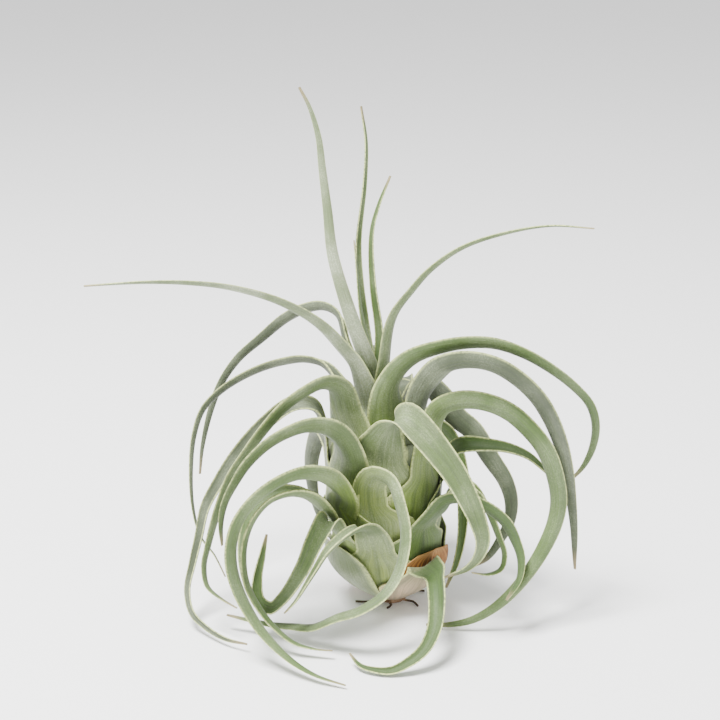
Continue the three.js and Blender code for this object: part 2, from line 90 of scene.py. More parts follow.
LEAVES = (
    Leaf("leaf_inner_short", 0, Finish.GREEN, width=4, taper=1.2, route=(
        (-14, -1, 164), (-19, -1, 183), (-22, 4, 208), (-24, 7, 229),
    )),
    Leaf("leaf_tall_thin", 140, Finish.FROSTED, width=4.2, taper=1, route=(
        (-17, 13, 174), (-20, 15, 200), (-21, 18, 225), (-17, 24, 259), (-16, 27, 284), (-19, 28, 305),
    )),
    Leaf("leaf_tall_left", 275, Finish.PALE, width=5.4, taper=1, route=(
        (-19, -13, 170), (-26, -13, 190), (-36, -6, 224), (-39, 0, 249), (-42, 5, 273), (-44, 8, 290),
        (-49, 10, 307), (-55, 10, 319),
    )),
    Leaf("leaf_thin_right", 44, Finish.GREEN, width=4.2, taper=1.1, route=(
        (-8, 14, 170), (-12, 22, 198), (-13, 32, 228), (-9, 36, 244), (-2, 40, 261),
    )),
    Leaf("leaf_back_left_upper", 176, Finish.SILVER, width=6.2, taper=1.2, route=(
        (-28, 12, 165), (-33, 24, 178), (-42, 32, 181), (-53, 38, 178), (-66, 44, 170), (-82, 50, 155),
        (-97, 52, 141), (-108, 52, 125), (-115, 50, 108), (-121, 46, 84), (-123, 44, 66),
    )),
    Leaf("leaf_right_arch", 325, Finish.FROSTED, width=6.8, taper=1, route=(
        (-4, -12, 172), (0, -15, 190), (10, -20, 206), (21, -24, 220), (39, -28, 234), (64, -30, 243),
        (88, -30, 247), (113, -28, 245),
    )),
    Leaf("leaf_behind_1", 105, Finish.SILVER, route=(
        (-12, 22, 150), (-13, 38, 156), (-14, 58, 146), (-15, 78, 122), (-16, 92, 92), (-14, 96, 62),
        (-8, 88, 36),
    )),
    Leaf("leaf_left_long", 240, Finish.PALE, width=7.2, taper=1, route=(
        (-22, -17, 158), (-31, -22, 172), (-44, -34, 190), (-60, -43, 203), (-75, -49, 211),
        (-96, -55, 218), (-117, -58, 221), (-138, -60, 222), (-159, -60, 221), (-173, -60, 220),
    )),
    Leaf("leaf_back_right", 24, Finish.SILVER, width=9, roll=-50, route=(
        (9, 9, 139), (18, 16, 138), (29, 21, 127), (40, 22, 112), (50, 20, 104), (61, 14, 88),
        (70, 10, 75), (74, 8, 62), (73, 5, 50), (68, 2, 40), (59, -2, 28), (50, -6, 24),
    )),
    Leaf("leaf_back_left_lower", 160, Finish.SILVER, width=8, taper=1.2, route=(
        (-33, 14, 138), (-42, 24, 146), (-54, 31, 147), (-66, 36, 144), (-81, 38, 139), (-97, 38, 131),
        (-109, 35, 123), (-118, 30, 114), (-123, 24, 100), (-125, 18, 82), (-124, 10, 58),
        (-119, 2, 41), (-110, -6, 32), (-103, -12, 20),
    )),
    Leaf("leaf_right_upper", 296, Finish.GREEN, width=10, taper=1.1, route=(
        (-4, -18, 142), (1, -20, 155), (11, -24, 166), (27, -30, 174), (43, -34, 178), (58, -36, 178),
        (75, -36, 172), (91, -34, 162), (105, -30, 150), (115, -26, 138), (120, -20, 123),
        (120, -14, 107), (116, -6, 91), (109, 0, 79),
    )),
    Leaf("leaf_behind_2", 75, Finish.SILVER, route=(
        (4, 26, 130), (6, 42, 134), (8, 62, 122), (9, 78, 98), (8, 86, 70), (2, 86, 44), (-6, 78, 24),
    )),
    Leaf("leaf_left_front", 226, Finish.FROSTED, width=10.5, roll=35, route=(
        (-29, -18, 131), (-33, -26, 148), (-42, -35, 154), (-52, -41, 151), (-64, -45, 143),
        (-75, -48, 131), (-85, -48, 117), (-94, -47, 103), (-101, -45, 86), (-106, -44, 71),
        (-110, -44, 56), (-113, -44, 42), (-111, -47, 30), (-103, -53, 25), (-93, -60, 22),
    )),
    Leaf("leaf_right_middle", 333, Finish.SILVER, width=10.5, roll=-60, route=(
        (14, -17, 127), (16, -26, 144), (22, -35, 158), (30, -43, 168), (43, -46, 171), (56, -48, 169),
        (69, -47, 161), (81, -45, 149), (90, -41, 134), (97, -37, 117), (102, -34, 99), (106, -30, 78),
        (109, -28, 56), (111, -26, 32),
    )),
    Leaf("leaf_behind_3", 125, Finish.FROSTED, route=(
        (-27, 27, 118), (-30, 38, 126), (-33, 56, 118), (-35, 72, 98), (-34, 82, 72), (-28, 84, 44),
        (-20, 78, 20), (-12, 70, 8),
    )),
    Leaf("leaf_front_upper", 268, Finish.FROSTED, width=11, roll=110, route=(
        (-7, -36, 121), (-3, -41, 134), (5, -46, 138), (14, -51, 132), (24, -55, 121), (34, -59, 108),
        (42, -63, 94), (48, -64, 80), (51, -64, 68), (49, -62, 57), (42, -57, 46), (30, -50, 37),
    )),
    Leaf("leaf_right_strand", 43, Finish.GREEN, width=5.1, route=(
        (26, 14, 108), (36, 18, 100), (43, 14, 80), (44, 6, 58), (43, 1, 40), (40, -1, 24), (34, -3, 8),
    )),
    Leaf("leaf_left_low", 180, Finish.SILVER, width=7.5, route=(
        (-42, -3, 116), (-48, -7, 130), (-60, -11, 132), (-78, -14, 119), (-94, -16, 101),
        (-105, -17, 84), (-113, -19, 69), (-117, -22, 52), (-121, -27, 36), (-124, -34, 22),
        (-121, -44, 12), (-112, -54, 7), (-99, -66, 5), (-86, -74, 6),
    )),
    Leaf("leaf_right_green", 318, Finish.GREEN, width=8.2, roll=-50, route=(
        (20, -25, 111), (23, -29, 127), (28, -35, 139), (40, -38, 144), (54, -40, 143), (67, -40, 137),
        (79, -40, 126), (88, -40, 114), (94, -40, 99), (97, -40, 82), (95, -41, 68), (89, -44, 54),
        (81, -47, 41), (71, -49, 28), (60, -49, 17), (47, -47, 8), (34, -45, 4), (20, -43, 3),
    )),
    Leaf("leaf_behind_4", 90, Finish.GREEN, route=(
        (-6, 38, 106), (-6, 50, 110), (-5, 66, 94), (-3, 76, 68), (0, 78, 40), (4, 70, 16), (8, 58, 5),
    )),
    Leaf("leaf_left_inner", 232, Finish.FROSTED, width=10.5, roll=35, route=(
        (-26, -34, 106), (-30, -42, 121), (-38, -49, 131), (-50, -56, 135), (-62, -62, 133),
        (-73, -65, 127), (-84, -66, 116), (-92, -65, 103), (-98, -63, 90), (-101, -60, 74),
        (-101, -58, 62),
    )),
    Leaf("leaf_right_olive", 5, Finish.DARK_GREEN, width=8, roll=-30, route=(
        (33, -3, 93), (37, -12, 104), (43, -18, 109), (55, -21, 110), (68, -23, 109), (80, -25, 105),
        (88, -27, 99), (97, -27, 90),
    )),
    Leaf("leaf_behind_5", 145, Finish.SILVER, route=(
        (-38, 25, 92), (-44, 36, 97), (-48, 50, 88), (-52, 60, 66), (-50, 64, 40), (-42, 62, 18),
        (-32, 56, 6),
    )),
    Leaf("leaf_front_pouch", 257, Finish.FROSTED, width=7.4, taper=2, route=(
        (-14, -41, 93), (-10, -46, 101), (-2, -51, 99), (3, -57, 87), (6, -62, 73), (5, -67, 61),
        (1, -72, 49), (-7, -77, 39), (-20, -80, 31), (-33, -77, 25), (-48, -68, 14), (-60, -61, 11),
        (-72, -55, 9), (-86, -50, 9), (-100, -45, 10),
    )),
    Leaf("leaf_behind_6", 63, Finish.FROSTED, route=(
        (18, 34, 88), (24, 48, 92), (28, 62, 78), (28, 70, 54), (24, 70, 30), (16, 64, 12), (6, 56, 5),
    )),
    Leaf("leaf_front_curl", 220, Finish.GREEN, width=10.5, taper=2.4, roll=60, route=(
        (-31, -39, 86), (-36, -52, 99), (-43, -64, 108), (-55, -73, 112), (-68, -80, 109),
        (-79, -83, 101), (-88, -85, 89), (-92, -86, 75), (-92, -86, 61), (-89, -86, 48), (-84, -87, 36),
        (-77, -90, 25), (-68, -95, 16), (-57, -102, 9), (-44, -110, 5), (-28, -117, 3),
    )),
    Leaf("leaf_right_inner_curl", 335, Finish.GREEN, width=7, roll=-40, route=(
        (35, -24, 84), (44, -28, 88), (52, -30, 82), (58, -32, 70), (63, -32, 57), (67, -33, 45),
        (65, -35, 36), (57, -37, 33), (47, -39, 35),
    )),
    Leaf("leaf_behind_7", 105, Finish.FROSTED, route=(
        (-14, 42, 76), (-18, 58, 80), (-20, 70, 62), (-20, 74, 38), (-16, 66, 14), (-12, 56, 5),
    )),
    Leaf("leaf_front_second_curl", 208, Finish.GREEN, width=10.5, taper=2, roll=40, shoulder=12.75, route=(
        (-37, -35, 72), (-44, -46, 84), (-52, -56, 94), (-62, -63, 98), (-73, -67, 95), (-82, -70, 85),
        (-87, -71, 71), (-88, -71, 57), (-86, -71, 43), (-80, -72, 30), (-71, -74, 18), (-59, -78, 9),
        (-46, -81, 6), (-36, -83, 6),
    )),
    Leaf("leaf_right_hanging", 307, Finish.DARK_GREEN, width=7.5, roll=-30, route=(
        (24, -39, 74), (31, -43, 84), (41, -46, 86), (54, -47, 81), (65, -47, 72), (71, -46, 61),
        (75, -49, 50), (74, -54, 38), (67, -57, 26),
    )),
    Leaf("sheath_bare_left", 130, Finish.PALE),
    Leaf("leaf_twisted", 225, Finish.GREEN, width=8.5, twist=1.2, shoulder=9.75, route=(
        (-33, -47, 67), (-38, -57, 79), (-42, -62, 74), (-47, -64, 64), (-52, -65, 52), (-58, -65, 41),
        (-65, -63, 30), (-73, -60, 22), (-80, -55, 25), (-81, -50, 36), (-78, -47, 50), (-75, -45, 63),
    )),
    Leaf("sheath_bare_right", 25, Finish.PALE),
    Leaf("leaf_front_hanging", 259, Finish.FROSTED, width=8, route=(
        (-14, -43, 62), (-17, -53, 71), (-26, -65, 73), (-38, -72, 65), (-45, -73, 54), (-51, -74, 44),
        (-57, -74, 34), (-64, -72, 25),
    )),
    Leaf("sheath_dry_back", 115, Finish.DRY),
    Leaf("sheath_dry_front", 318, Finish.DRY, top=47),
    Leaf("sheath_pale", 212, Finish.PALE, top=48),
    Leaf("leaf_front_lowest", 303, Finish.DARK_GREEN, width=7, taper=2.2, top=36, base=PEACH,
         base_reach=0.26, route=(
        (21, -44, 40), (24, -56, 43), (25, -68, 40), (25, -79, 31), (23, -88, 22), (17, -95, 13),
        (8, -99, 7), (-2, -101, 3), (-12, -100, 3), (-20, -96, 4), (-26, -89, 8),
    )),
)


@dataclass
class Section:
    """One cross-section of a leaf: an arc round a centre that lies off to its hollow side."""

    centre: Vector
    hollow: Vector
    side: Vector
    half_width: float
    radius: float
    along: float = 0.0

    def point(self, across: float) -> Vector:
        """A point of the arc.

        Args:
            across: the place on the arc, from -1 at one margin to 1 at the other.

        Returns:
            The point, in millimetres.
        """
        angle = across * self.half_width / self.radius
        inward = self.radius * (1.0 - math.cos(angle))
        return self.centre + self.hollow * inward + self.side * (self.radius * math.sin(angle))


def ease(value: float, low: float, high: float) -> float:
    """Eases from 0 to 1.

    Args:
        value: where to read the curve.
        low: where it leaves 0.
        high: where it reaches 1.

    Returns:
        A number from 0 to 1.
    """
    share = min(max((value - low) / (high - low), 0.0), 1.0)
    return share * share * (3.0 - 2.0 * share)


def mix(low: float, high: float, share: float) -> float:
    """A value the given share of the way from low to high."""
    return low + (high - low) * share


@dataclass
class Midrib:
    """A smooth curve through given points, even where their spacing isn't."""

    points: list[Vector]

    def _span(self, share: float) -> tuple[int, float]:
        """Finds the span between two points in which a place of the curve lies.

        Args:
            share: how far along the curve, from 0 to 1.

        Returns:
            The number of the span, and how far along the span the place is, from 0 to 1.
        """
        place = share * (len(self.points) - 1)
        number = min(int(place), len(self.points) - 2)
        return number, place - number

    def at(self, share: float) -> Vector:
        """A point of the curve.

        Args:
            share: how far along the curve, from 0 to 1.

        Returns:
            The point, in millimetres.
        """
        number, weight = self._span(share)
        first, second = self.points[number], self.points[number + 1]
        before = self.points[number - 1] if number > 0 else first * 2.0 - second
        last = number + 2 >= len(self.points)
        after = second * 2.0 - first if last else self.points[number + 2]
        gap_before = math.sqrt((first - before).length)
        gap = math.sqrt((second - first).length)
        gap_after = math.sqrt((after - second).length)
        leave = ((first - before) / gap_before - (second - before) / (gap_before + gap)
                 + (second - first) / gap) * gap
        arrive = ((second - first) / gap - (after - first) / (gap + gap_after)
                  + (after - second) / gap_after) * gap
        square = (second - first) * 3.0 - leave * 2.0 - arrive
        cube = (first - second) * 2.0 + leave + arrive
        return first + leave * weight + square * weight ** 2 + cube * weight ** 3

    def direction(self, share: float, step: float = 0.0001) -> Vector:
        """The direction of the curve.

        Args:
            share: how far along the curve, from 0 to 1.
            step: how far to either side the curve is read.

        Returns:
            The direction, as a vector of length 1.
        """
        ahead = self.at(min(share + step, 1.0))
        behind = self.at(max(share - step, 0.0))
        return (ahead - behind).normalized()


@dataclass
class Bulb:
    """How the sheaths are stacked along the leaning stem, in millimetres."""

    stem_radius: float = 9.0
    lean: float = -0.075
    first_gap: float = 0.9
    first_insertion: float = 33.75
    insertion_step: float = 0.83
    layer_pitch: float = 0.79
    bowl_roundness: float = 1.8
    swell_radius: float = 21.0
    swell_height: float = 95.0
    closing_height: float = 98.0
    neck_height: float = 138.0
    neck_core_radius: float = 3.0
    first_sheath_top: float = 150.0
    sheath_top_step: float = 3.1

    def axis(self, height: float) -> Vector:
        """The leaning axis at one height."""
        return Vector((self.lean * height, 0.0, height))

    def insertion(self, rank: int) -> float:
        """The height at which a sheath leaves the stem."""
        return self.first_insertion - self.insertion_step * rank

    def top(self, rank: int) -> float:
        """The height at which a sheath ends."""
        return self.first_sheath_top - self.sheath_top_step * rank

    def radius(self, rank: int, height: float) -> float:
        """The distance of a sheath from the axis.

        Args:
            rank: the sheath's place in the layers, from 0 for the innermost.
            height: the height to read it at.

        Returns:
            The distance, in millimetres.
        """
        base = self.stem_radius + self.first_gap
        if height < self.first_insertion:
            left = (self.first_insertion - height) / (self.insertion_step * rank)
            return base + self.layer_pitch * rank * (1.0 - left ** self.bowl_roundness)
        swollen = mix(base, self.swell_radius, ease(height, self.first_insertion, self.swell_height))
        closing = ease(height, self.closing_height, self.neck_height)
        return mix(swollen, self.neck_core_radius, closing) + self.layer_pitch * rank


@dataclass(frozen=True)
class Ramp:
    """A smooth change from start to end, while a value goes from low to high."""

    low: float
    high: float
    start: float = 0.0
    end: float = 1.0


@dataclass(frozen=True)
class Streaks:
    """Noise drawn out along a leaf: how often it repeats in half its width and in a metre of length."""

    across: float
    along: float
    offset: float
    detail: float
    scale: float = 1.0


@dataclass(frozen=True)
class LeafMarks:
    """The markings that every living leaf has, and a painted shade along its midrib groove.

    The painted groove shade and the margin go by the place from the midrib, at 0, to the edge, at 1.
    Share_frost and tip go by the share of the leaf's length, base_start is a share of the base colour's
    reach, and the other ramps go by a noise. A frost ramp gives factors on the finish's frost, and
    smoother what its roughness gains.
    """

    broad: Streaks = Streaks(across=7.0, along=16.0, offset=40.0, detail=5.0)
    fine: Streaks = Streaks(across=34.0, along=55.0, offset=70.0, detail=3.0)
    cloud_scale: float = 34.0
    cloud_detail: float = 4.0
    speckle_scale: float = 1300.0
    speckle: Ramp = Ramp(0.6, 0.15)
    base_start: float = 0.4
    broad_dark: Ramp = Ramp(0.4, 0.68, 0.0, 0.5)
    fine_dark: Ramp = Ramp(0.45, 0.7, 0.0, 0.45)
    # painted shade: the skin darkens towards the midrib, where the groove lies in shade
    groove_shade: Ramp = Ramp(0.0, 0.16, 0.5, 0.0)
    cloud_frost: Ramp = Ramp(0.36, 0.66, 0.3, 1.75)
    speckle_frost: Ramp = Ramp(0.0, 1.0, 0.6, 1.25)
    streak_frost: Ramp = Ramp(0.3, 0.7, 1.25, 0.65)
    share_frost: Ramp = Ramp(0.1, 0.9, 1.2, 0.7)
    margin: Ramp = Ramp(0.82, 0.98)
    margin_scale: float = 700.0
    margin_breaks: Ramp = Ramp(0.32, 0.58, 0.25, 1.0)
    margin_strength: float = 0.75
    tip: Ramp = Ramp(0.95, 0.995, 0.0, 0.8)
    broad_relief: float = 0.8
    fine_relief: float = 0.5
    speckle_relief: float = 0.35
    bump_strength: float = 0.5
    bump_depth: float = 0.5
    sheen: float = 0.12
    sheen_roughness: float = 0.5
    smoother: Ramp = Ramp(0.3, 0.7, 0.0, -0.2)


@dataclass(frozen=True)
class LeafFinish:
    """A living leaf's skin: green under fine pale scales, streaked lengthwise, with a pale margin."""

    skin: tuple[float, float, float]
    base_tint: tuple[float, float, float]
    scales: tuple[float, float, float] = (0.345, 0.405, 0.225)
    margin: tuple[float, float, float] = (0.60, 0.66, 0.26)
    dry_tip: tuple[float, float, float] = (0.27, 0.21, 0.11)
    frost: float = 0.5
    streak: float = 0.5
    roughness: float = 0.75


@dataclass(frozen=True)
class DryFinish:
    """A dead, papery sheath: brown, streaked and lighter where it has frayed."""

    skin: tuple[float, float, float] = (0.36, 0.15, 0.03)
    streak: tuple[float, float, float] = (0.11, 0.04, 0.01)
    frayed: tuple[float, float, float] = (0.40, 0.22, 0.07)
    streaks: Streaks = Streaks(across=16.0, along=22.0, offset=3.0, detail=5.0, scale=1.5)
    streaked: Ramp = Ramp(0.38, 0.62)
    fraying: Ramp = Ramp(0.8, 1.0, 0.0, 0.7)
    bump_strength: float = 0.6
    bump_depth: float = 0.6
    roughness: Ramp = Ramp(0.3, 0.7, 0.7, 0.92)


@dataclass(frozen=True)
class WoodFinish:
    """The stem's peach-brown bark and the roots' dark bark, beyond the stem's radius."""

    stem_light: tuple[float, float, float] = (0.42, 0.27, 0.16)
    stem_dark: tuple[float, float, float] = (0.20, 0.11, 0.06)
    root: tuple[float, float, float] = (0.055, 0.035, 0.022)
    root_start: float = 10.0
    root_end: float = 13.0
    grain_scale: float = 260.0
    grain_detail: float = 4.0
    light: Ramp = Ramp(0.35, 0.65)
    bump_strength: float = 0.7
    bump_depth: float = 0.6
    roughness: Ramp = Ramp(0.3, 0.7, 0.95, 0.8)


LEAF_FINISHES = {
    Finish.FROSTED: LeafFinish(skin=(0.066, 0.112, 0.022), base_tint=(0.24, 0.31, 0.055), frost=0.38),
    Finish.SILVER: LeafFinish(skin=(0.036, 0.052, 0.018), base_tint=(0.09, 0.11, 0.045),
                              scales=(0.26, 0.30, 0.19), frost=0.32),
    Finish.GREEN: LeafFinish(skin=(0.052, 0.102, 0.010), base_tint=(0.20, 0.29, 0.035), frost=0.21),
    Finish.DARK_GREEN: LeafFinish(skin=(0.034, 0.078, 0.004), base_tint=(0.08, 0.14, 0.015), frost=0.10),
    Finish.PALE: LeafFinish(skin=(0.12, 0.165, 0.060), base_tint=(0.25, 0.31, 0.10),
                            scales=(0.43, 0.47, 0.34), frost=0.48),
}


class Shader:
    """A small builder of one material's nodes."""

    LEVEL = (1.0, 1.0, 0.0)
    MIX_SHARE = 0
    MIX_LOW = 6
    MIX_HIGH = 7
    MIX_RESULT = 2

    def __init__(self, name: str) -> None:
        """Starts a material with its shader and output.

        Args:
            name: the material's name.
        """
        self.material = bpy.data.materials.new(name)
        self.material.use_nodes = True
        self.tree = self.material.node_tree
        self.tree.nodes.clear()
        self.output = self.tree.nodes.new("ShaderNodeOutputMaterial")
        self.surface = self.tree.nodes.new("ShaderNodeBsdfPrincipled")
        self.tree.links.new(self.surface.outputs["BSDF"], self.output.inputs["Surface"])

    def link(self, value: object, socket: bpy.types.NodeSocket) -> None:
        """Feeds a socket.

        Args:
            value: a number, a colour, a vector or another node's output.
            socket: the socket that takes it.
        """
        if isinstance(value, bpy.types.NodeSocket):
            self.tree.links.new(value, socket)
        elif isinstance(value, tuple) and len(value) == 3 and socket.type == "RGBA":
            socket.default_value = (*value, 1.0)
        else:
            socket.default_value = value

    def attribute(self, name: str) -> bpy.types.NodeSocket:
        """Reads one of the mesh's own attributes.

        Args:
            name: the attribute's name.

        Returns:
            Its value.
        """
        node = self.tree.nodes.new("ShaderNodeAttribute")
        node.attribute_name = name
        return node.outputs["Fac"]

    def place(self) -> bpy.types.NodeSocket:
        """The place on the object, in metres."""
        return self.tree.nodes.new("ShaderNodeTexCoord").outputs["Object"]

    def reach(self, vector: object) -> bpy.types.NodeSocket:
        """Measures how far a place is from the object's upright axis.

        Args:
            vector: the place.

        Returns:
            The level distance, in metres.
        """
        level = self.tree.nodes.new("ShaderNodeVectorMath")
        level.operation = "MULTIPLY"
        self.link(vector, level.inputs[0])
        level.inputs[1].default_value = self.LEVEL
        length = self.tree.nodes.new("ShaderNodeVectorMath")
        length.operation = "LENGTH"
        self.link(level.outputs[0], length.inputs[0])
        return length.outputs["Value"]

    def combine(self, x: object, y: object, z: object) -> bpy.types.NodeSocket:
        """Joins three values to a vector.

        Args:
            x: the first value.
            y: the second value.
            z: the third value.

        Returns:
            The vector.
        """
        node = self.tree.nodes.new("ShaderNodeCombineXYZ")
        for value, socket in zip((x, y, z), node.inputs):
            self.link(value, socket)
        return node.outputs[0]

    def noise(self, vector: object, scale: float, detail: float = 2.0) -> bpy.types.NodeSocket:
        """Reads cloudy noise.

        Args:
            vector: the place to read it at.
            scale: how fine it is.
            detail: how many finer layers it has.

        Returns:
            A value from 0 to 1.
        """
        node = self.tree.nodes.new("ShaderNodeTexNoise")
        self.link(vector, node.inputs["Vector"])
        node.inputs["Scale"].default_value = scale
        node.inputs["Detail"].default_value = detail
        return node.outputs["Fac"]

    def streaks(self, kind: Streaks, shift: float = 1.0) -> bpy.types.NodeSocket:
        """Reads noise that is drawn out along the leaf.

        Args:
            kind: how it is drawn out.
            shift: a factor on its offset, which sets one leaf apart from another.

        Returns:
            A value from 0 to 1.
        """
        across = self.math("MULTIPLY", self.attribute("across"), kind.across)
        along = self.math("MULTIPLY", self.attribute("along"), kind.along)
        return self.noise(self.combine(across, along, shift * kind.offset), kind.scale, kind.detail)

    def cells(self, vector: object, scale: float) -> bpy.types.NodeSocket:
        """Measures how near one of many scattered points is.

        Args:
            vector: the place to read it at.
            scale: how close together the points are.

        Returns:
            The distance to the nearest point.
        """
        node = self.tree.nodes.new("ShaderNodeTexVoronoi")
        self.link(vector, node.inputs["Vector"])
        node.inputs["Scale"].default_value = scale
        return node.outputs["Distance"]

    def math(self, operation: str, first: object, second: object = 0.0) -> bpy.types.NodeSocket:
        """Works out one sum.

        Args:
            operation: the sum's name.
            first: the first value.
            second: the second value, where the sum takes two.

        Returns:
            The result.
        """
        node = self.tree.nodes.new("ShaderNodeMath")
        node.operation = operation
        self.link(first, node.inputs[0])
        self.link(second, node.inputs[1])
        return node.outputs[0]

    def span(self, value: object, ramp: Ramp) -> bpy.types.NodeSocket:
        """Spreads a value smoothly along a ramp.

        Args:
            value: the value.
            ramp: where it starts and ends to count, and what it becomes there.

        Returns:
            The new value.
        """
        node = self.tree.nodes.new("ShaderNodeMapRange")
        node.interpolation_type = "SMOOTHSTEP"
        for number, entry in enumerate((value, ramp.low, ramp.high, ramp.start, ramp.end)):
            self.link(entry, node.inputs[number])
        return node.outputs[0]

    def blend(self, share: object, low: object, high: object) -> bpy.types.NodeSocket:
        """Mixes two colours.

        Args:
            share: how much of the second colour shows, from 0 to 1.
            low: the first colour.
            high: the second colour.

        Returns:
            The mixed colour.
        """
        node = self.tree.nodes.new("ShaderNodeMix")
        node.data_type = "RGBA"
        self.link(share, node.inputs[self.MIX_SHARE])
        self.link(low, node.inputs[self.MIX_LOW])
        self.link(high, node.inputs[self.MIX_HIGH])
        return node.outputs[self.MIX_RESULT]

    def bump(self, height: object, strength: float, depth: float) -> None:
        """Raises the surface.

        Args:
            height: where it is raised, from 0 to 1.
            strength: how much of the relief shows.
            depth: how high the relief is, in millimetres.
        """
        node = self.tree.nodes.new("ShaderNodeBump")
        node.inputs["Strength"].default_value = strength
        node.inputs["Distance"].default_value = depth * MM
        self.link(height, node.inputs["Height"])
        self.link(node.outputs["Normal"], self.surface.inputs["Normal"])

    def finish(self, colour: object, roughness: object) -> bpy.types.Material:
        """Hands the material over.

        Args:
            colour: its colour.
            roughness: its roughness.

        Returns:
            The material.
        """
        self.link(colour, self.surface.inputs["Base Color"])
        self.link(roughness, self.surface.inputs["Roughness"])
        return self.material


def leaf_material(name: str, finish: LeafFinish, base: tuple[float, float, float],
                  base_reach: float, tint: float) -> bpy.types.Material:
    """The skin of one living leaf.

    Args:
        name: the material's name.
        finish: the kind of leaf.
        base: the leaf's colour near the stem.
        base_reach: how far that colour reaches, as a share of the leaf's length.
        tint: a number that sets this leaf apart from the others.

    Returns:
        The material.
    """
    marks = LeafMarks()
    shader = Shader(name)
    off_middle = shader.math("ABSOLUTE", shader.attribute("across"))
    share = shader.attribute("share")
    place = shader.place()
    broad = shader.streaks(marks.broad, tint)
    fine = shader.streaks(marks.fine, tint)
    clouds = shader.noise(place, marks.cloud_scale, marks.cloud_detail)
    speckle = shader.span(shader.cells(place, marks.speckle_scale), marks.speckle)
    # the darker skin of the lengthwise streaks, also used for the painted shade along the midrib groove
    dark = tuple(part * finish.streak for part in finish.skin)
    fading = Ramp(marks.base_start * base_reach, base_reach)
    skin = shader.blend(shader.span(share, fading), base, finish.skin)
    # darkens the skin along the broad and fine streaks, and paints shade along the midrib groove
    for value, ramp in ((broad, marks.broad_dark), (fine, marks.fine_dark), (off_middle, marks.groove_shade)):
        skin = shader.blend(shader.span(value, ramp), skin, dark)
    cover = shader.math("MULTIPLY", shader.span(clouds, marks.cloud_frost), finish.frost)
    for value, ramp in ((speckle, marks.speckle_frost), (fine, marks.streak_frost),
                        (share, marks.share_frost)):
        cover = shader.math("MULTIPLY", cover, shader.span(value, ramp))
    skin = shader.blend(cover, skin, finish.scales)
    broken = shader.span(shader.noise(place, marks.margin_scale), marks.margin_breaks)
    edge = shader.math("MULTIPLY", shader.span(off_middle, marks.margin), broken)
    skin = shader.blend(shader.math("MULTIPLY", edge, marks.margin_strength), skin, finish.margin)
    skin = shader.blend(shader.span(share, marks.tip), skin, finish.dry_tip)
    relief = shader.math("MULTIPLY", broad, marks.broad_relief)
    for value, height in ((fine, marks.fine_relief), (speckle, marks.speckle_relief)):
        relief = shader.math("ADD", relief, shader.math("MULTIPLY", value, height))
    shader.bump(relief, marks.bump_strength, marks.bump_depth)
    shader.surface.inputs["Sheen Weight"].default_value = marks.sheen
    shader.surface.inputs["Sheen Roughness"].default_value = marks.sheen_roughness
    roughness = Ramp(marks.smoother.low, marks.smoother.high,
                     finish.roughness + marks.smoother.start, finish.roughness + marks.smoother.end)
    return shader.finish(skin, shader.span(broad, roughness))


def dry_material(name: str, finish: DryFinish) -> bpy.types.Material:
    """The skin of a dead sheath.

    Args:
        name: the material's name.
        finish: its colours.

    Returns:
        The material.
    """
    shader = Shader(name)
    streaks = shader.streaks(finish.streaks)
    skin = shader.blend(shader.span(streaks, finish.streaked), finish.skin, finish.streak)
    frayed = shader.span(shader.attribute("share"), finish.fraying)
    skin = shader.blend(frayed, skin, finish.frayed)
    shader.bump(streaks, finish.bump_strength, finish.bump_depth)
    return shader.finish(skin, shader.span(streaks, finish.roughness))


def wood_material(name: str, finish: WoodFinish) -> bpy.types.Material:
    """The bark of the stem and the roots.

    Args:
        name: the material's name.
        finish: its colours.

    Returns:
        The material.
    """
    shader = Shader(name)
    place = shader.place()
    grain = shader.noise(place, finish.grain_scale, finish.grain_detail)
    skin = shader.blend(shader.span(grain, finish.light), finish.stem_dark, finish.stem_light)
    beyond = Ramp(finish.root_start * MM, finish.root_end * MM)
    skin = shader.blend(shader.span(shader.reach(place), beyond), skin, finish.root)
    shader.bump(grain, finish.bump_strength, finish.bump_depth)
    return shader.finish(skin, shader.span(grain, finish.roughness))


